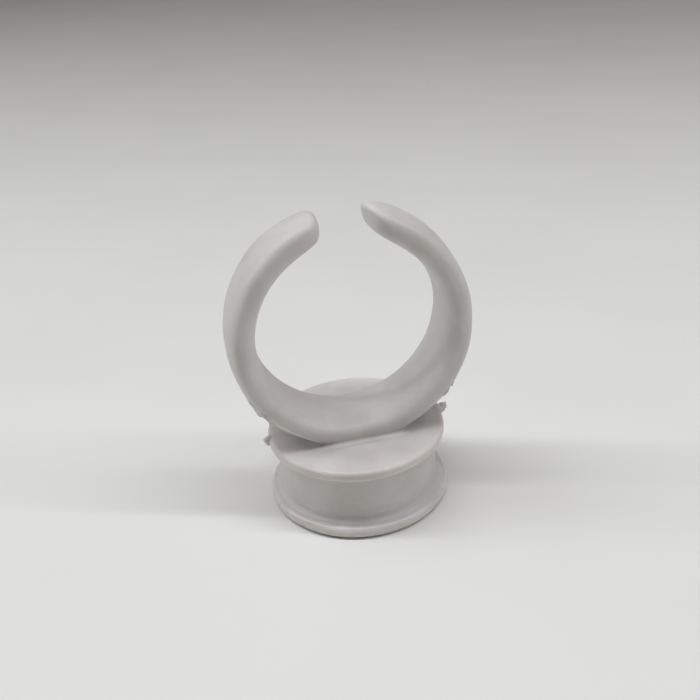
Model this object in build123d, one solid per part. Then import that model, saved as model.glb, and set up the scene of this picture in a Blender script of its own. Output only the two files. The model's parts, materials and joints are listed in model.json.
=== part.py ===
from build123d import *
import math
import os

# A finger-ring cup: a small round cup whose closed floor carries an open, springy ring.
# It stands upside down, on the mouth of the cup, with the ring on top.
# Millimetres. The origin is the centre of the mouth's underside, +Z is up, and the
# ring's axis runs along Y, so the ring opens upwards and its arms are on -X and +X.

# cup
cup_height = 7.1             # mouth underside to the outside of the floor
wall_radius = 7.5            # outside of the wall
wall_thickness = 1.1
wall_cove = 0.3              # hollow corner where the wall meets the rim and the floor
rim_radius = 8.65            # outside of the rolled lip round the mouth
rim_bead = 0.55              # radius of the lip's rounded edge
rim_slope = 0.2              # how much thicker the rim is at the wall than at its bead
floor_radius = 8.35
floor_thickness = 1.0
floor_edge = 0.15            # rounding of the floor's edge

# ring
ring_inner_radius = 8.5
ring_web = 1.8               # floor to the inside of the ring, at its lowest point
ring_thickness = 2.6
ring_edge = 1.15             # rounding of the band's edges
land_skim = 0.03             # how much of the band's inside is cut back to a true cylinder
ring_edge_limit = 0.45       # the most that rounding may be, as a share of the thickness
ring_width_bottom = 6.4
ring_width_side = 6.4
ring_width_end = 4.7         # the width that the band narrows towards over the top
section_step = 15.0          # degrees between the band's sections, at most

# tips of the ring's arms
tip_start = 150.0            # degrees from the lowest point to where the tip begins
tip_gap = 4.2                # clear width between the two noses
tip_lead = 0.42              # share of the thickness by which the nose is nearer the outside
tip_nose = 0.55              # size of the nose's end, as a share of the full section
tip_sections = 7

# flexing of the arms
flex_angle = 45.0            # degrees from the lowest point to where each arm bends
knuckle_step = 0.05          # how far the knuckle's round stands in from the band's faces
knuckle_clearance = 0.12

# traces of moulding: ragged flash on the outside of the arms, and two gate stubs
flash_width = 3.6
flash_start = 52.0           # degrees from the lowest point
flash_heights = [0.06, 0.2, 0.13, 0.27, 0.2, 0.24, 0.1, 0.16, 0.04]
flash_pitch = 2.6            # degrees between two heights
flash_root = 0.1             # how far the flash is drawn into the band before it is trimmed
stub_thickness = 0.7
stub_length = 0.8            # how far a gate stub stands out from the floor's edge
stub_top = 0.22              # how far it stands above the floor

floor_bottom = cup_height - floor_thickness
cavity_radius = wall_radius - wall_thickness
rim_height = 2 * rim_bead + rim_slope
ring_centre = cup_height + ring_web + ring_inner_radius
ring_middle_radius = ring_inner_radius + ring_thickness / 2
ring_outer_radius = ring_inner_radius + ring_thickness
knuckle_radius = ring_thickness / 2 - knuckle_step
band_edge = min(ring_edge, ring_edge_limit * ring_thickness)
rough_thickness = ring_thickness + land_skim
rough_middle_radius = ring_outer_radius - rough_thickness / 2
nose_shift = (1 - tip_nose) * tip_lead * ring_thickness
nose_inner_radius = rough_middle_radius + nose_shift - tip_nose * rough_thickness / 2
tip_end = 180.0 - math.degrees(math.asin(tip_gap / 2 / nose_inner_radius))
sides = {"left": -1, "right": 1}


def revolved(outline):
    """A solid turned about Z from an outline of (radius, height) lines and arcs."""
    return revolve(make_face(Plane.XZ * outline), Axis.Z)


def mouth_rim():
    """The rim round the mouth: flat underneath, sloping on top, with a round bead outside."""
    bead_centre = rim_radius - rim_bead
    outline = Polyline(
        (bead_centre, 2 * rim_bead), (wall_radius, rim_height), (cavity_radius, rim_height),
        (cavity_radius, 0), (bead_centre, 0),
    ) + ThreePointArc((bead_centre, 0), (rim_radius, rim_bead), (bead_centre, 2 * rim_bead))
    return revolved(outline)


def cup_wall():
    """The wall between rim and floor, with a hollow corner at each end."""
    foot = rim_height
    head = floor_bottom
    hollow = wall_cove * (1 - math.sqrt(0.5))
    cove_radius = wall_radius + wall_cove
    outline = (
        ThreePointArc((cove_radius, foot), (wall_radius + hollow, foot + hollow),
                      (wall_radius, foot + wall_cove))
        + Line((wall_radius, foot + wall_cove), (wall_radius, head - wall_cove))
        + ThreePointArc((wall_radius, head - wall_cove), (wall_radius + hollow, head - hollow),
                        (cove_radius, head))
        + Polyline((cove_radius, head), (cavity_radius, head), (cavity_radius, foot),
                   (cove_radius, foot))
    )
    return revolved(outline)


def cup_floor():
    """The closed floor, a disc that overhangs the wall."""
    disc = Pos(0, 0, floor_bottom) * Cylinder(
        floor_radius, floor_thickness, align=(Align.CENTER, Align.CENTER, Align.MIN))
    return fillet(disc.edges(), floor_edge)


def ring_point(angle, radius):
    """A point of the ring's plane, angle degrees from its lowest point towards +X."""
    turn = math.radians(angle)
    return (radius * math.sin(turn), 0, ring_centre - radius * math.cos(turn))


def ring_width(angle):
    """The band's width, from the bottom to the sides and then narrower over the top."""
    end_width = ring_width_bottom if abs(angle) < 90 else ring_width_end
    return end_width + (ring_width_side - end_width) * math.sin(math.radians(angle)) ** 2


def band_section(angle, scale=1.0, shift=0.0):
    """The band's rounded section at an angle, scaled and shifted outwards for the tips."""
    turn = math.radians(angle)
    plane = Plane(
        origin=ring_point(angle, rough_middle_radius + shift),
        x_dir=(math.sin(turn), 0, -math.cos(turn)),
        z_dir=(math.cos(turn), 0, math.sin(turn)),
    )
    return plane * RectangleRounded(
        rough_thickness * scale, ring_width(angle) * scale, band_edge * scale)


def bored(solid):
    """The solid with the ring's round inside cut through it."""
    bore = Rot(90, 0, 0) * Cylinder(ring_inner_radius, 4 * ring_width_side)
    return solid - Pos(0, 0, ring_centre) * bore


def band(first, last):
    """A length of the ring's band between two angles."""
    count = math.ceil((last - first) / section_step)
    angles = [first + (last - first) * i / count for i in range(count + 1)]
    return bored(loft([band_section(angle) for angle in angles]))


def knuckle(side, radius):
    """A round bar along Y through the line about which an arm bends."""
    x, y, z = ring_point(side * flex_angle, ring_middle_radius)
    return Pos(x, y, z) * Rot(90, 0, 0) * Cylinder(radius, 2 * ring_width_side)


def whole_arm(side):
    """An arm's band from the line where it bends to its tip, before it is hollowed."""
    right = band(flex_angle, tip_start)
    return right if side > 0 else right.mirror(Plane.YZ)


def ring_saddle():
    """The fixed bottom of the ring: flat on the floor, with a round knuckle at each end."""
    saddle = band(-flex_angle, flex_angle)
    for side in sides.values():
        saddle += knuckle(side, knuckle_radius) & whole_arm(side)
    below = Pos(0, 0, cup_height) * Box(
        4 * ring_outer_radius, 4 * ring_width_side, 4 * ring_thickness,
        align=(Align.CENTER, Align.CENTER, Align.MAX))
    return saddle - below


def arm(side):
    """A springy arm, hollowed at its lower end to turn about the saddle's knuckle."""
    return whole_arm(side) - knuckle(side, knuckle_radius + knuckle_clearance)


def tip(side):
    """The rounded nose of an arm: sections that shrink like a quarter of an ellipse."""
    sections = []
    for i in range(tip_sections):
        reach = math.sin(math.pi / 2 * i / (tip_sections - 1))
        scale = tip_nose + (1 - tip_nose) * math.sqrt(1 - reach ** 2)
        shift = (1 - scale) * tip_lead * ring_thickness
        angle = tip_start + (tip_end - tip_start) * reach
        sections.append(band_section(angle, scale, shift))
    right = bored(loft(sections))
    return right if side > 0 else right.mirror(Plane.YZ)


def flash(side, own_arm):
    """A ragged, low patch of flash across the outside of an arm."""
    angles = [flash_start + flash_pitch * i for i in range(len(flash_heights))]
    crest = [ring_point(side * angle, ring_outer_radius + height)
             for angle, height in zip(angles, flash_heights)]
    root = [ring_point(side * angle, ring_outer_radius - flash_root) for angle in reversed(angles)]
    outline = Polyline(*crest, *root, close=True)
    patch = extrude(make_face(outline), flash_width / 2, dir=(0, 1, 0), both=True)
    return patch - own_arm


def gate_stub(side):
    """A torn stub of the moulding gate on the edge of the floor, beside the ring."""
    inside = floor_radius - floor_edge
    outside = floor_radius + stub_length
    top = cup_height + stub_top
    lean = stub_length / 4 * side
    outline = Polyline(
        (side * inside, 0, floor_bottom + floor_edge),
        (side * (outside - stub_length / 3) + lean / 2, 0, floor_bottom + floor_edge / 2),
        (side * outside, 0, cup_height - floor_thickness / 3),
        (side * (outside - stub_length / 5), 0, top),
        (side * inside, 0, top - floor_edge / 2),
        close=True,
    )
    stub = extrude(make_face(outline), stub_thickness / 2, dir=(0, 1, 0), both=True)
    disc = Cylinder(floor_radius, 4 * cup_height)
    return stub - disc


def main():
    nodes = {
        "mouth_rim": mouth_rim(),
        "cup_wall": cup_wall(),
        "cup_floor": cup_floor(),
        "ring_saddle": ring_saddle(),
    }
    for name, side in sides.items():
        nodes[name + "_arm"] = arm(side)
        nodes[name + "_tip"] = tip(side)
        nodes[name + "_flash"] = flash(side, nodes[name + "_arm"])
        nodes[name + "_gate_stub"] = gate_stub(side)
    os.makedirs("parts", exist_ok=True)
    for name, solid in nodes.items():
        export_step(solid, "parts/" + name + ".step")
        print(name, round(solid.volume, 3))


main()
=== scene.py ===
import json
import math

import bpy
import bmesh
import numpy as np
from mathutils import Matrix, Vector


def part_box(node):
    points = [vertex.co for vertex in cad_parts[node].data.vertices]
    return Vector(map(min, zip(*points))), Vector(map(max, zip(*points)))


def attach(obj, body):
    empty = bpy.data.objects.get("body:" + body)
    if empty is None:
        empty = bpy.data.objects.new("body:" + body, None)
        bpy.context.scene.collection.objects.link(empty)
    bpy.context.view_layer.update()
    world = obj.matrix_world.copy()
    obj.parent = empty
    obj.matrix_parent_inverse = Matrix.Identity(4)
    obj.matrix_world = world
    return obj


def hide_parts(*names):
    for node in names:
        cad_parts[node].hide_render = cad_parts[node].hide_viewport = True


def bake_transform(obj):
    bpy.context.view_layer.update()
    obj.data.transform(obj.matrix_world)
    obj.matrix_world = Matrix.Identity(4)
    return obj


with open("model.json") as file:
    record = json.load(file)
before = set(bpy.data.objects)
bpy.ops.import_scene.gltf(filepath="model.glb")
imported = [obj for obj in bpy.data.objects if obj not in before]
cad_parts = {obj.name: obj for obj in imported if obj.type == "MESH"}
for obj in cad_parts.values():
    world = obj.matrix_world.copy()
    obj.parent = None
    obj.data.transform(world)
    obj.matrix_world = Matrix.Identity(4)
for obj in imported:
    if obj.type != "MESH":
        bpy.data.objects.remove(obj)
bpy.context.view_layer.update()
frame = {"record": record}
mm = 0.001

# camera: a little above the ring and to its left, rolled a few degrees
cameraView = {
    "place": (-13.18, -66.57, 51.49),  # mm
    "turn": -11.2,                     # degrees about the vertical
    "dip": 28.4,                       # degrees below the horizon
    "roll": -4.23,
    "lens": 43.71,                     # mm, on a 36 mm sensor
}


def addCamera(view):
    data = bpy.data.cameras.new("camera")
    data.lens = view["lens"]
    data.sensor_width = 36.0
    data.clip_start = 0.002
    data.clip_end = 20.0
    camera = bpy.data.objects.new("camera", data)
    bpy.context.scene.collection.objects.link(camera)
    turn = (Matrix.Rotation(math.radians(view["turn"]), 4, "Z")
            @ Matrix.Rotation(math.radians(90 - view["dip"]), 4, "X")
            @ Matrix.Rotation(math.radians(view["roll"]), 4, "Z"))
    camera.matrix_world = Matrix.Translation(Vector(view["place"]) * mm) @ turn
    bpy.context.scene.camera = camera


addCamera(cameraView)
print("camera placed")


def gridFaces(rows, columns):
    # quads of a grid of points laid row by row, whose last column meets its first again
    i = np.arange(rows - 1)[:, None]
    j = np.arange(columns)[None, :]
    k = (j + 1) % columns
    return np.stack([i * columns + j, i * columns + k,
                     (i + 1) * columns + k, (i + 1) * columns + j], -1).reshape(-1, 4)


def fanFaces(loop, pole):
    # triangles from each side of a closed loop of points to one pole
    return np.stack([loop, np.roll(loop, -1), np.full_like(loop, pole)], -1)


def closedTube(sections, startPole, endPole):
    # sections is (rows, columns, 3): each row a closed loop, and both ends closed on a pole
    rows, columns = sections.shape[:2]
    points = np.concatenate([sections.reshape(-1, 3), [startPole], [endPole]])
    first = np.arange(columns)
    last = first + (rows - 1) * columns
    count = rows * columns
    faces = (gridFaces(rows, columns).tolist() + fanFaces(first, count).tolist()
             + fanFaces(last, count + 1).tolist())
    return points, faces


def makePiece(name, points, faces, material, flatFaces=None):
    # points in mm; the faces are turned outwards, and flatFaces lists those shaded flat
    mesh = bpy.data.meshes.new(name)
    mesh.from_pydata((np.asarray(points) * mm).tolist(), [], faces)
    work = bmesh.new()
    work.from_mesh(mesh)
    bmesh.ops.recalc_face_normals(work, faces=work.faces)
    work.to_mesh(mesh)
    work.free()
    smooth = np.ones(len(mesh.polygons), bool)
    if flatFaces is not None:
        smooth[flatFaces] = False
    mesh.polygons.foreach_set("use_smooth", smooth)
    mesh.materials.append(material)
    mesh.update()
    piece = bpy.data.objects.new(name, mesh)
    bpy.context.scene.collection.objects.link(piece)
    return piece


def softNoise(points, size, seed):
    # a smooth, repeatable unevenness from -1 to 1: eight sine waves in fixed directions,
    # with wave lengths about the given size, added together
    chance = np.random.default_rng(seed)
    way = chance.normal(size=(8, np.shape(points)[-1]))
    way /= np.linalg.norm(way, axis=1)[:, None]
    pace = 2 * np.pi / (size * chance.uniform(0.7, 1.6, 8))
    phase = chance.uniform(0, 2 * np.pi, 8)
    return np.sin(np.asarray(points) @ (way * pace[:, None]).T + phase).sum(-1) / 4.5


def rowPoints(start, end, count):
    # points along a straight run, closer together near its ends
    t = (0.5 - 0.5 * np.cos(np.pi * np.linspace(0, 1, count)))[:, None]
    return np.asarray(start) * (1 - t) + np.asarray(end) * t


def arcPoints(centre, radius, first, last, count):
    # points on an arc, with angles in degrees from the outward direction towards up
    a = np.radians(np.linspace(first, last, count))[:, None]
    return np.asarray(centre) + radius * np.hstack([np.cos(a), np.sin(a)])


def linearColour(hexValue):
    # an sRGB hex value as a linear colour
    srgb = np.array([int(hexValue[i:i + 2], 16) for i in (1, 3, 5)]) / 255
    linear = np.where(srgb <= 0.04045, srgb / 12.92, ((srgb + 0.055) / 1.055) ** 2.4)
    return (*linear.tolist(), 1.0)


def addNode(tree, kind, settings=None, values=None, links=None):
    # one node: its own settings, values for its sockets, and links that come into its sockets
    node = tree.nodes.new(kind)
    for key, value in (settings or {}).items():
        setattr(node, key, value)
    for key, value in (values or {}).items():
        node.inputs[key].default_value = value
    for key, socket in (links or {}).items():
        tree.links.new(socket, node.inputs[key])
    return node


# White polypropylene, injection moulded in a fine spark-eroded tool: a soft satin white that is
# slightly warm where light bounces in its corners, faintly cloudy where the melt flowed, with
# a thin even sheen. The polished lip of the cup is smoother than the rest.
mouldedFinish = {
    "pale": "#DAD7D5",
    "deep": "#D2CECB",
    "clouds": 3.2,      # mm, size of the cloudy patches
    "grain": 0.12,      # mm, tool texture, drawn about twice its real size so that it shows
    "grainDepth": 0.004,
    "waves": 1.6,       # mm, shrinkage waves
    "wavesDepth": 0.012,
    "satin": 0.46,      # roughness
    "lip": 0.17,        # roughness of the lip, which turns to satin between two heights, mm
    "lipFades": (0.8, 1.5),
    "ior": 1.49,
    "glow": 0.55,       # share of the light that passes under the surface
    "glowDepth": 1.3,   # mm
}

# The ring's band is thick, so less light comes through it.
bandFinish = dict(mouldedFinish, glow=0.2, glowDepth=0.25)


def makeMouldedPolypropylene(name, finish):
    material = bpy.data.materials.new(name)
    material.use_nodes = True
    tree = material.node_tree
    shader = tree.nodes["Principled BSDF"]
    shader.inputs["IOR"].default_value = finish["ior"]
    shader.inputs["Subsurface Weight"].default_value = finish["glow"]
    shader.inputs["Subsurface Radius"].default_value = (1.0, 0.74, 0.54)
    shader.inputs["Subsurface Scale"].default_value = finish["glowDepth"] * mm
    place = addNode(tree, "ShaderNodeTexCoord")
    clouds = addNode(tree, "ShaderNodeTexNoise", {}, {
        "Scale": 1 / (finish["clouds"] * mm), "Detail": 4.0, "Roughness": 0.55, "Distortion": 0.4,
    }, {"Vector": place.outputs["Object"]})
    ramp = addNode(tree, "ShaderNodeValToRGB", {}, {}, {"Fac": clouds.outputs["Fac"]})
    ramp.color_ramp.elements[0].position = 0.36
    ramp.color_ramp.elements[0].color = linearColour(finish["deep"])
    ramp.color_ramp.elements[1].position = 0.62
    ramp.color_ramp.elements[1].color = linearColour(finish["pale"])
    tree.links.new(ramp.outputs["Color"], shader.inputs["Base Color"])
    # roughness: satin everywhere, smoother on the lip, a little uneven
    parts = addNode(tree, "ShaderNodeSeparateXYZ", {}, {}, {"Vector": place.outputs["Object"]})
    lip = addNode(tree, "ShaderNodeMapRange", {}, {
        "From Min": finish["lipFades"][0] * mm, "From Max": finish["lipFades"][1] * mm,
        "To Min": finish["lip"], "To Max": finish["satin"],
    }, {"Value": parts.outputs["Z"]})
    uneven = addNode(tree, "ShaderNodeMapRange", {}, {
        "From Min": 0.3, "From Max": 0.7, "To Min": -0.05, "To Max": 0.06,
    }, {"Value": clouds.outputs["Fac"]})
    rough = addNode(tree, "ShaderNodeMath", {"operation": "ADD"}, {}, {
        0: lip.outputs["Result"], 1: uneven.outputs["Result"]})
    tree.links.new(rough.outputs["Value"], shader.inputs["Roughness"])
    # relief: slow shrinkage waves, then the fine grain of the tool
    waves = addNode(tree, "ShaderNodeTexNoise", {}, {
        "Scale": 1 / (finish["waves"] * mm), "Detail": 1.0, "Roughness": 0.4,
    }, {"Vector": place.outputs["Object"]})
    slow = addNode(tree, "ShaderNodeBump", {}, {
        "Strength": 0.6, "Distance": finish["wavesDepth"] * mm,
    }, {"Height": waves.outputs["Fac"]})
    grain = addNode(tree, "ShaderNodeTexNoise", {}, {
        "Scale": 1 / (finish["grain"] * mm), "Detail": 3.0, "Roughness": 0.6,
    }, {"Vector": place.outputs["Object"]})
    fine = addNode(tree, "ShaderNodeBump", {}, {
        "Strength": 0.5, "Distance": finish["grainDepth"] * mm,
    }, {"Height": grain.outputs["Fac"], "Normal": slow.outputs["Normal"]})
    tree.links.new(fine.outputs["Normal"], shader.inputs["Normal"])
    return material


# The same polypropylene where it was torn or squeezed out of the tool: matt, fibrous and
# uneven. Its colour is painted a shade greyer and darkest in the fibres' hollows, as painted
# shade.
tornFinishAndHollowShade = {
    # pale on the fibres' ridges; deep is painted shade in their hollows
    "pale": "#D9D6D3",
    "deep": "#CCC8C4",
    "fibres": 0.22,     # mm, between torn fibres
    "depth": 0.03,
    "roughness": 0.62,
    "ior": 1.49,
}


def makeTornPolypropylene(finish):
    material = bpy.data.materials.new("tornPolypropyleneHollowShade")
    material.use_nodes = True
    tree = material.node_tree
    shader = tree.nodes["Principled BSDF"]
    shader.inputs["IOR"].default_value = finish["ior"]
    place = addNode(tree, "ShaderNodeTexCoord")
    fibres = addNode(tree, "ShaderNodeTexNoise", {}, {
        "Scale": 1 / (finish["fibres"] * mm), "Detail": 5.0, "Roughness": 0.65, "Distortion": 0.8,
    }, {"Vector": place.outputs["Object"]})
    # base colour: deep where the bump is lowest, as painted shade in the hollows, pale on the
    # ridges
    ramp = addNode(tree, "ShaderNodeValToRGB", {}, {}, {"Fac": fibres.outputs["Fac"]})
    ramp.color_ramp.elements[0].position = 0.34
    ramp.color_ramp.elements[0].color = linearColour(finish["deep"])
    ramp.color_ramp.elements[1].position = 0.58
    ramp.color_ramp.elements[1].color = linearColour(finish["pale"])
    tree.links.new(ramp.outputs["Color"], shader.inputs["Base Color"])
    rough = addNode(tree, "ShaderNodeMapRange", {}, {
        "From Min": 0.3, "From Max": 0.7,
        "To Min": finish["roughness"] - 0.08, "To Max": finish["roughness"] + 0.1,
    }, {"Value": fibres.outputs["Fac"]})
    tree.links.new(rough.outputs["Result"], shader.inputs["Roughness"])
    bump = addNode(tree, "ShaderNodeBump", {}, {
        "Strength": 0.7, "Distance": finish["depth"] * mm,
    }, {"Height": fibres.outputs["Fac"]})
    tree.links.new(bump.outputs["Normal"], shader.inputs["Normal"])
    return material


moulded = makeMouldedPolypropylene("mouldedPolypropylene", mouldedFinish)
mouldedBand = makeMouldedPolypropylene("mouldedPolypropyleneBand", bandFinish)
torn = makeTornPolypropylene(tornFinishAndHollowShade)
print("finishes made")


# the cup: rim, wall and floor in one turned surface, with sizes from the frame
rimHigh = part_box("mouth_rim")[1]
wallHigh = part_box("cup_wall")[1]
floorLow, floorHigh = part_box("cup_floor")

cupShape = {
    "rimRadius": rimHigh.x / mm,
    "rimTop": rimHigh.z / mm,
    "bead": 0.55,         # mm, radius of the lip's rounded edge
    "wallRadius": wallHigh.x / mm - 0.3,  # its box reaches out to the hollow corners
    "wallThickness": 1.1,
    "cove": 0.3,          # mm, the hollow corner under the floor
    "rimCove": 0.5,       # mm, the hollow corner between wall and rim
    "floorRadius": floorHigh.x / mm,
    "floorLow": floorLow.z / mm,
    "floorTop": floorHigh.z / mm,
    "floorEdge": 0.34,    # mm, rounding of the floor's edge
    "innerCorner": 0.45,
    "mouthEdge": 0.15,
    "poleRadius": 0.05,   # mm, of the smallest circle round each pole
    "unevenness": 0.02,   # mm, how far the surface wanders from true
    "waviness": 7.0,      # mm, from one swell to the next
    "evenWithin": 6.0,    # mm, the middle of the floor stays true
    "seed": 11,
    "around": 320,
}


def cupProfile(shape):
    # (radius, height) from the middle of the cavity's ceiling, down its wall, round the lip,
    # up the outside and back to the middle of the floor's top
    inner = shape["wallRadius"] - shape["wallThickness"]
    corner, edge, bead = shape["innerCorner"], shape["mouthEdge"], shape["bead"]
    low, top, cove = shape["floorLow"], shape["floorTop"], shape["cove"]
    wall, floor, turn = shape["wallRadius"], shape["floorRadius"], shape["floorEdge"]
    rimCove, rimTop, pole = shape["rimCove"], shape["rimTop"], shape["poleRadius"]
    beadCentre = shape["rimRadius"] - bead
    coveOut = wall + cove
    slope = math.atan2(rimTop - 2 * bead, beadCentre - wall)
    lipFrom = (beadCentre + bead * math.sin(slope), bead + bead * math.cos(slope))
    rimFrom = (wall + rimCove, rimTop - rimCove * math.tan(slope))
    return np.concatenate([
        rowPoints((pole, low), (inner - corner, low), 14),
        arcPoints((inner - corner, low - corner), corner, 90, 0, 10)[1:],
        rowPoints((inner, low - corner), (inner, edge), 14)[1:],
        arcPoints((inner + edge, edge), edge, 180, 270, 6)[1:],
        rowPoints((inner + edge, 0), (beadCentre, 0), 8)[1:],
        arcPoints((beadCentre, bead), bead, -90, 90 - math.degrees(slope), 26)[1:],
        rowPoints(lipFrom, rimFrom, 8)[1:],
        arcPoints((wall + rimCove, rimTop + rimCove), rimCove, 270, 180, 12)[1:],
        rowPoints((wall, rimTop + rimCove), (wall, low - cove), 18)[1:],
        arcPoints((coveOut, low - cove), cove, 180, 90, 10)[1:],
        rowPoints((coveOut, low), (floor - turn, low), 5)[1:],
        arcPoints((floor - turn, low + turn), turn, -90, 0, 8)[1:],
        rowPoints((floor, low + turn), (floor, top - turn), 7)[1:],
        arcPoints((floor - turn, top - turn), turn, 0, 90, 9)[1:],
        rowPoints((floor - turn, top), (pole, top), 24)[1:],
    ])


def cupSurface(shape):
    # the profile turned about Z: x = radius cos a, y = radius sin a, for a once round;
    # the radius wanders by a smooth unevenness, and every level stays level
    profile = cupProfile(shape)
    a = np.linspace(0, 2 * np.pi, shape["around"], endpoint=False)[None, :]
    radius = profile[:, :1] + 0 * a
    height = profile[:, 1:] + 0 * a
    points = np.stack([radius * np.cos(a), radius * np.sin(a), height], -1)
    wander = shape["unevenness"] * softNoise(points, shape["waviness"], shape["seed"])
    radius = radius + wander * np.clip(profile[:, :1] / shape["evenWithin"], 0, 1)
    points = np.stack([radius * np.cos(a), radius * np.sin(a), height], -1)
    return closedTube(points, (0, 0, profile[0, 1]), (0, 0, profile[-1, 1]))


cup = makePiece("cup", *cupSurface(cupShape), moulded)
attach(cup, "root")
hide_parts("mouth_rim", "cup_wall", "cup_floor")
print("cup made:", len(cup.data.polygons), "faces")


# the ring: two halves that meet at the bottom
gripMount = next(m for m in frame["record"]["mounts"] if m["name"] == "finger_ring")

ringShape = {
    "centre": gripMount["pos_m"][2] / mm,
    "innerRadius": gripMount["dims"]["r_mm"],
    "thickness": (2.70, 2.56, 2.72),   # mm at the bottom, at the side and near the tip
    "width": (6.65, 6.72, 4.90),
    "squareness": 2.67,                # 2 is an ellipse, more is squarer
    "bendFrom": 21.0,                  # degrees from the bottom, where the arm starts to move
    "bendTo": 71.0,
    "around": 96,
    "taper": 2.2,                      # roundness of the taper over the tips, 2 is an ellipse
    "closing": 0.45,                   # roundness of the noses' ends, less is flatter
    "unevenness": 0.03,                # mm
    "waviness": 4.5,                   # mm, from one swell to the next
    "evenWithin": 12,                  # degrees from the seam, where the unevenness grows
    "partingLine": 0.025,              # mm, height of the ridge left by the mould's joint
    "partingWidth": 0.12,              # mm
}

leftTip = {
    "start": 142.0,       # degrees from the bottom
    "end": 168.8,
    "endWidth": 0.74,     # size of the nose, as shares of the full section
    "endThickness": 0.70,
    "lead": 0.34,         # share of the thickness by which the nose lies nearer the outside
    "slant": 0.3,         # degrees by which the outside runs on ahead of the middle
    "lean": 0.4,          # degrees by which the rear edge runs on ahead of the middle
    "blunt": 15.0,        # how suddenly the nose closes
    "seed": 3,
}

rightTip = {
    "start": 141.0,
    "end": 168.0,
    "endWidth": 0.58,
    "endThickness": 0.60,
    "lead": 0.50,
    "slant": 1.8,
    "lean": 2.0,
    "blunt": 15.0,
    "seed": 8,
}


def alongRing(values, angle):
    # a smooth curve through the values at 0, 90 and 162 degrees
    s = np.abs(angle) / 180
    low, side, end = values
    return (low * (s - 0.5) * (s - 0.9) / 0.45 + side * s * (s - 0.9) / -0.2
            + end * s * (s - 0.5) / 0.36)


def ringPoint(side, angle, radius, across, shape):
    # a point at an angle from the bottom, a radius from the ring's axis and a place across
    turn = np.radians(angle)
    return np.stack([side * radius * np.sin(turn), across + 0 * turn,
                     shape["centre"] - radius * np.cos(turn)], -1)


def ringSurface(side, shape, tip):
    # the band's superellipse section carried round the ring's circle; over the tip it tapers
    # like a quarter of an ellipse towards a smaller nose nearer the outside, and closes bluntly
    straight = np.concatenate([np.linspace(0, 0.6, 5), np.linspace(1.3, tip["start"], 210)])
    over = np.sin(np.pi / 2 * np.linspace(0, 1, 56)[1:-1])
    angle = np.concatenate([straight, tip["start"] + (tip["end"] - tip["start"]) * over])
    reach = np.concatenate([0 * straight, over])[:, None]
    angle = angle[:, None]
    phi = np.linspace(0, 2 * np.pi, shape["around"], endpoint=False)[None, :]
    m = shape["squareness"]
    swell = (np.abs(np.cos(phi)) ** m + np.abs(np.sin(phi)) ** m) ** (-1 / m)
    radial = swell * np.cos(phi)
    across = swell * np.sin(phi)
    taper = (1 - reach ** shape["taper"]) ** (1 / shape["taper"])
    closing = (1 - reach ** tip["blunt"]) ** shape["closing"]
    thin = tip["endThickness"] + (1 - tip["endThickness"]) * taper
    slim = (tip["endWidth"] + (1 - tip["endWidth"]) * taper) * closing
    thick = alongRing(shape["thickness"], angle)
    middle = shape["innerRadius"] + thick / 2 + (1 - thin) * tip["lead"] * thick
    halfThick = thick / 2 * thin * closing
    halfWide = alongRing(shape["width"], angle) / 2 * slim
    # the parting line runs along the middle of the outside
    fromMiddle = across * halfWide / shape["partingWidth"]
    ridge = shape["partingLine"] * np.exp(-fromMiddle ** 2) * (radial > 0.5)
    radius = middle + halfThick * radial + ridge
    slanted = angle + (tip["slant"] * radial + tip["lean"] * across) * reach ** 2 * closing
    points = ringPoint(side, slanted, radius, halfWide * across, shape)
    # unevenness grows from nothing at the seam, so that the two halves meet exactly
    grow = np.clip(angle / shape["evenWithin"], 0, 1) * np.clip(halfThick * 1.5, 0, 1)
    push = shape["unevenness"] * softNoise(points, shape["waviness"], tip["seed"]) * grow
    points = ringPoint(side, slanted, radius + push * radial, (halfWide + push) * across, shape)
    endThick = alongRing(shape["thickness"], tip["end"])
    endRadius = (shape["innerRadius"] + endThick / 2
                 + (1 - tip["endThickness"]) * tip["lead"] * endThick)
    pole = ringPoint(side, tip["end"], endRadius, 0.0, shape)
    seam = ringPoint(side, 0.0, shape["innerRadius"] + thick[0, 0] / 2, 0.0, shape)
    flat = np.arange(shape["around"]) + (len(angle) - 1) * shape["around"]
    return (*closedTube(points, seam, pole), flat)


def bendWith(piece):
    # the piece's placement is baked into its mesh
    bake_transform(piece)


def makeRingHalf(name, side, tip, nodes):
    points, faces, flat = ringSurface(side, ringShape, tip)
    half = makePiece(name, points, faces, mouldedBand, flatFaces=flat)
    bendWith(half)
    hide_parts(*nodes)
    return half


ringLeft = makeRingHalf("ringLeft", -1, leftTip, ["ring_saddle", "left_arm", "left_tip"])
ringRight = makeRingHalf("ringRight", 1, rightTip, ["right_arm", "right_tip"])
print("ring made:", len(ringLeft.data.polygons) + len(ringRight.data.polygons), "faces")


# the foot: the hollow corner where the ring grows out of the cup's floor
footShape = {
    "radius": 0.42,        # mm, of the hollow corner
    "longest": 2.0,        # mm, its greatest reach under the overhanging arms
    "sampleHeight": 0.15,  # mm above the floor, where the band's lean is measured
    "sunk": 0.012,         # mm, how far the outer edge lies under the floor's surface
    "topInside": 0.994,    # the top edge's distance from the middle, as a share of the band's
    "coreInside": 0.9,     # the same for the hidden core
    "coreDepth": 0.2,      # mm under the floor's surface
    "around": 220,
    "steps": 14,
}


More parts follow.
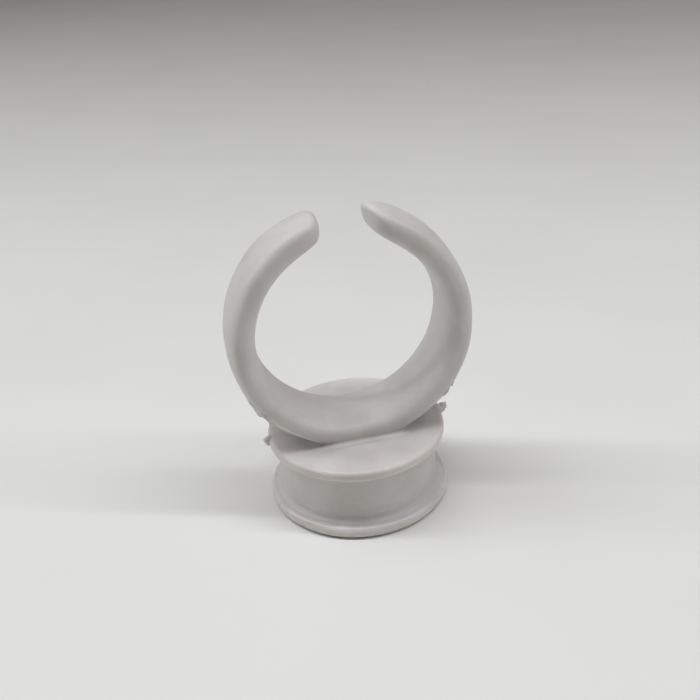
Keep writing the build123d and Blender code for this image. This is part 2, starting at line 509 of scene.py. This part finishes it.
def ringOutline(height, a, ring):
    # where the band's surface crosses a level, along the direction a from the middle:
    # the distance is halved in on the superellipse's edge, all directions at once
    near, far = np.zeros_like(a), np.full_like(a, 9.0)
    m = ring["squareness"]
    for step in range(40):
        reach = (near + far) / 2
        x, y = reach * np.cos(a), reach * np.sin(a)
        down = ring["centre"] - height
        angle = np.degrees(np.arctan2(np.abs(x), down))
        thick = alongRing(ring["thickness"], angle)
        radial = (np.hypot(x, down) - ring["innerRadius"] - thick / 2) / (thick / 2)
        sideways = y / (alongRing(ring["width"], angle) / 2)
        inside = np.abs(radial) ** m + np.abs(sideways) ** m < 1
        near, far = np.where(inside, reach, near), np.where(inside, far, reach)
    return np.stack([near * np.cos(a), near * np.sin(a)], -1)


def footSurface(shape, ring, level):
    # round the ring's outline on the floor, a curve that leaves the floor level and meets the
    # band along its side: its reach is the corner's radius over the tangent of half the angle
    # between floor and band; a hidden core inside the band closes the section
    a = np.linspace(0, 2 * np.pi, shape["around"], endpoint=False)
    base = ringOutline(level, a, ring)
    along = np.roll(base, -1, 0) - np.roll(base, 1, 0)
    outward = np.stack([along[:, 1], -along[:, 0]], -1)
    outward /= np.linalg.norm(outward, axis=1)[:, None]
    above = ringOutline(level + shape["sampleHeight"], a, ring)
    lean = np.arctan2(shape["sampleHeight"], ((above - base) * outward).sum(-1))
    reach = np.minimum(shape["radius"] / np.tan(lean / 2), shape["longest"])
    rise = reach * np.sin(lean)
    high = ringOutline(level + rise, a, ring)
    start = np.column_stack([base + outward * reach[:, None],
                             np.full_like(a, level - shape["sunk"])])
    bend = np.column_stack([base, np.full_like(a, level)])
    end = np.column_stack([high * shape["topInside"], level + rise])
    t = np.linspace(0, 1, shape["steps"])[:, None, None]
    skin = (1 - t) ** 2 * start + 2 * t * (1 - t) * bend + t ** 2 * end
    core = np.column_stack([base * shape["coreInside"],
                            np.full_like(a, level - shape["coreDepth"])])[None]
    loops = np.concatenate([skin, core]).transpose(1, 0, 2)
    rows, columns = loops.shape[:2]
    faces = gridFaces(rows + 1, columns) % (rows * columns)
    return loops.reshape(-1, 3), faces.tolist()


foot = makePiece("ringFoot", *footSurface(footShape, ringShape, cupShape["floorTop"]), mouldedBand)
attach(foot, "root")
print("foot made")


# the flash: a ragged skin squeezed out along the outside of each arm
leftFlash = {
    "start": 42.0,        # degrees from the bottom
    "pitch": 2.6,         # degrees between two heights, which are in mm
    "heights": (0.0, 0.20, 0.40, 0.16, 0.12, 0.42, 0.26, 0.06, 0.24, 0.10, 0.03, 0.0),
    "spread": 72.0,       # degrees of the section's round covered, to each side
    "seed": 21,
}

rightFlash = {
    "start": 37.0,
    "pitch": 2.2,
    "heights": (0.0, 0.16, 0.34, 0.10, 0.08, 0.42, 0.32, 0.08, 0.38, 0.16, 0.26, 0.05, 0.0),
    "spread": 72.0,
    "seed": 34,
}

flashSkin = {
    "rows": 190,
    "columns": 41,
    "oval": 2.4,          # 2 is an ellipse, more is squarer
    "raggedness": 0.4,    # the most that the oval's edge is cut back, as a share of its width
    "raggedSize": 3.2,    # degrees, from one notch to the next
    "edgesApart": 9.0,    # degrees, so that the front and rear edges differ
    "lumpSize": 1.3,      # mm
    "edgeUnder": 0.02,    # mm, how far the skin's edge lies under the band's surface
    "under": 0.09,        # mm, how far its hidden back does
    "poleUnder": 0.05,
}


def flashSurface(side, ring, flash, skin):
    # a thin skin on the band: its section follows the superellipse, lifted outwards by the
    # heights along the arm times a half ellipse across it, and comes back just under the
    # band's surface; the patch is a ragged oval that shrinks to a point at both ends
    count = len(flash["heights"])
    knots = flash["start"] + flash["pitch"] * np.arange(count)
    angle = np.linspace(knots[0], knots[-1], skin["rows"])[1:-1, None]
    high = np.interp(angle, knots, flash["heights"])
    t = np.linspace(-1, 1, skin["columns"])
    across = np.concatenate([t, t[::-1]])[None, :]
    above = np.repeat([1, 0], skin["columns"])[None, :]
    along = 2 * (angle - knots[0]) / (knots[-1] - knots[0]) - 1
    margin = np.stack([angle + 0 * across, skin["edgesApart"] * np.sign(across) + 0 * angle], -1)
    notches = np.abs(softNoise(margin, skin["raggedSize"], flash["seed"] + 1))
    halfSpread = (1 - np.abs(along) ** skin["oval"]) ** 0.5 * (1 - skin["raggedness"] * notches)
    phi = np.radians(flash["spread"]) * across * halfSpread
    m = ring["squareness"]
    swell = (np.abs(np.cos(phi)) ** m + np.abs(np.sin(phi)) ** m) ** (-1 / m)
    x, y = swell * np.cos(phi), swell * np.sin(phi)
    thick = alongRing(ring["thickness"], angle) / 2
    wide = alongRing(ring["width"], angle) / 2
    normal = np.stack([np.abs(x) ** (m - 1) * np.sign(x) / thick,
                       np.abs(y) ** (m - 1) * np.sign(y) / wide], -1)
    normal /= np.linalg.norm(normal, axis=-1)[..., None]
    middle = ring["innerRadius"] + thick
    place = ringPoint(side, angle + 0 * phi, middle + thick * x, wide * y, ring)
    lumps = 0.75 + 0.45 * softNoise(place, skin["lumpSize"], flash["seed"])
    crown = high * lumps * (1 - across ** 2) ** 0.5 - skin["edgeUnder"]
    lift = np.where(above > 0, crown, -skin["under"])
    points = ringPoint(side, angle + 0 * phi, middle + thick * x + lift * normal[..., 0],
                       wide * y + lift * normal[..., 1], ring)
    poles = [ringPoint(side, knots[i], middle[i, 0] + thick[i, 0] - skin["poleUnder"], 0.0, ring)
             for i in (0, -1)]
    return closedTube(points, *poles)


def makeFlash(name, side, flash, node):
    piece = makePiece(name, *flashSurface(side, ringShape, flash, flashSkin), torn)
    bendWith(piece)
    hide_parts(node)


makeFlash("leftFlash", -1, leftFlash, "left_flash")
makeFlash("rightFlash", 1, rightFlash, "right_flash")
print("flash made")


# the gate stubs: torn nubs on the floor's edge, in the ring's plane
leftNub = {
    # (outwards from the floor's edge, height), mm
    "outline": ((-0.7, 6.45), (-0.1, 6.15), (0.22, 6.32), (0.40, 6.62), (0.52, 6.88),
                (0.34, 7.04), (0.12, 7.16), (-0.25, 7.12), (-0.7, 7.0)),
    "halfThickness": 0.33,
    "unevenness": 0.07,
    "seed": 51,
}

rightNub = {
    "outline": ((-0.8, 6.5), (-0.1, 6.2), (0.25, 6.38), (0.62, 6.72), (0.80, 7.02),
                (0.74, 7.27), (0.45, 7.33), (0.05, 7.22), (-0.5, 7.27), (-0.9, 7.05)),
    "halfThickness": 0.35,
    "unevenness": 0.09,
    "seed": 67,
}

nubShape = {
    "around": 72,
    "steps": 32,
    "fullness": 0.6,      # 1 is a globe, less is fuller
    "lumpSize": 0.5,      # mm
}


def nubSurface(side, edge, nub, shape):
    # a pillow: the outline shrinks towards its middle like the circles of a globe while the
    # place across runs from one pole to the other; then it is roughened
    outline = np.array(nub["outline"])
    centre = outline.mean(0)
    fromCentre = (outline - centre).T
    turn = np.arctan2(fromCentre[1], fromCentre[0]) % (2 * np.pi)
    a = np.linspace(0, 2 * np.pi, shape["around"], endpoint=False)[None, :]
    reach = np.interp(a, turn, np.hypot(*fromCentre), period=2 * np.pi)
    b = np.linspace(-np.pi / 2, np.pi / 2, shape["steps"])[1:-1, None]
    shrink = np.cos(b) ** shape["fullness"]
    out = centre[0] + reach * np.cos(a) * shrink
    up = centre[1] + reach * np.sin(a) * shrink
    across = nub["halfThickness"] * np.sin(b) + 0 * a
    points = np.stack([out, across, up], -1)
    rough = nub["unevenness"] * softNoise(points, shape["lumpSize"], nub["seed"])
    away = points - np.array([centre[0], 0, centre[1]])
    points = points + away * rough[..., None]
    points[..., 0] = side * (edge + points[..., 0])
    poles = [(side * (edge + centre[0]), s * nub["halfThickness"], centre[1]) for s in (-1, 1)]
    return closedTube(points, *poles)


def makeNub(name, side, nub, node):
    surface = nubSurface(side, cupShape["floorRadius"], nub, nubShape)
    piece = makePiece(name, *surface, torn)
    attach(piece, "root")
    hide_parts(node)


makeNub("leftStub", -1, leftNub, "left_gate_stub")
makeNub("rightStub", 1, rightNub, "right_gate_stub")
print("gate stubs made")


tableTop = {
    "reach": 2.5,         # m, to each side
    "pale": "#EDEDEA",
    "deep": "#EAEAE7",
    "clouds": 30.0,       # mm
    "roughness": 0.55,
}


def makeTable(table):
    # a flat sheet at the level the cup stands on
    material = bpy.data.materials.new("whiteLaminate")
    material.use_nodes = True
    tree = material.node_tree
    shader = tree.nodes["Principled BSDF"]
    shader.inputs["Roughness"].default_value = table["roughness"]
    place = addNode(tree, "ShaderNodeTexCoord")
    clouds = addNode(tree, "ShaderNodeTexNoise", {}, {
        "Scale": 1 / (table["clouds"] * mm), "Detail": 3.0, "Roughness": 0.5,
    }, {"Vector": place.outputs["Object"]})
    ramp = addNode(tree, "ShaderNodeValToRGB", {}, {}, {"Fac": clouds.outputs["Fac"]})
    ramp.color_ramp.elements[0].position = 0.35
    ramp.color_ramp.elements[0].color = linearColour(table["deep"])
    ramp.color_ramp.elements[1].position = 0.65
    ramp.color_ramp.elements[1].color = linearColour(table["pale"])
    tree.links.new(ramp.outputs["Color"], shader.inputs["Base Color"])
    far = table["reach"] / mm
    corners = [(-far, -far, 0), (far, -far, 0), (far, far, 0), (-far, far, 0)]
    floor = makePiece("table", corners, [(0, 1, 2, 3)], material)


studio = {
    "turn": -21.0,        # degrees, the way the tube runs
    # an overhead tube in two lengths: from and to along it, m, and power, W
    "tubes": {"tubeLeft": (-0.95, 0.0, 0.82), "tubeRight": (0.0, 0.60, 0.62)},
    "tubeHeight": 0.24,
    "tubeForward": -0.012,
    "tubeWidth": 0.014,
    "tubeColour": "#F9FBFF",
    "windowPlace": (-0.40, 0.10, 0.40),  # a broad window on the left
    "windowSize": (0.45, 0.26),
    "windowPower": 0.40,
    "windowColour": "#EAF3FF",
    "ceilingPlace": (-0.20, 0.16, 0.70),
    "ceilingSize": (0.6, 0.6),
    "ceilingPower": 0.72,
    "ceilingColour": "#FFFBF5",
    "skyColour": "#FCF2EA",
    "skyStrength": 0.14,
}


def addLamp(name, place, aim, sizes, power, colour, turn):
    data = bpy.data.lights.new(name, "AREA")
    data.shape = "RECTANGLE"
    data.size, data.size_y = sizes
    data.energy = power
    data.color = linearColour(colour)[:3]
    lamp = bpy.data.objects.new(name, data)
    bpy.context.scene.collection.objects.link(lamp)
    spin = Matrix.Rotation(math.radians(turn), 4, "Z")
    back = (Vector(place) - Vector(aim)).normalized()
    sideways = (Vector((1, 0, 0)) - back * back.x).normalized()
    up = back.cross(sideways)
    basis = Matrix((sideways, up, back)).transposed().to_4x4()
    lamp.matrix_world = spin @ Matrix.Translation(place) @ basis


def lightStudio(light):
    for name, (first, last, power) in light["tubes"].items():
        middle = ((first + last) / 2, light["tubeForward"])
        addLamp(name, (*middle, light["tubeHeight"]), (*middle, 0),
                (last - first, light["tubeWidth"]), power, light["tubeColour"], light["turn"])
    addLamp("window", light["windowPlace"], (0, 0, 0.012), light["windowSize"],
            light["windowPower"], light["windowColour"], light["turn"])
    addLamp("ceiling", light["ceilingPlace"], (0, 0, 0), light["ceilingSize"],
            light["ceilingPower"], light["ceilingColour"], light["turn"])
    world = bpy.data.worlds.new("softRoom")
    bpy.context.scene.world = world
    world.use_nodes = True
    sky = world.node_tree.nodes["Background"]
    sky.inputs["Color"].default_value = linearColour(light["skyColour"])
    sky.inputs["Strength"].default_value = light["skyStrength"]
    bpy.context.scene.view_settings.view_transform = "Standard"


makeTable(tableTop)
lightStudio(studio)
print("table and light made")
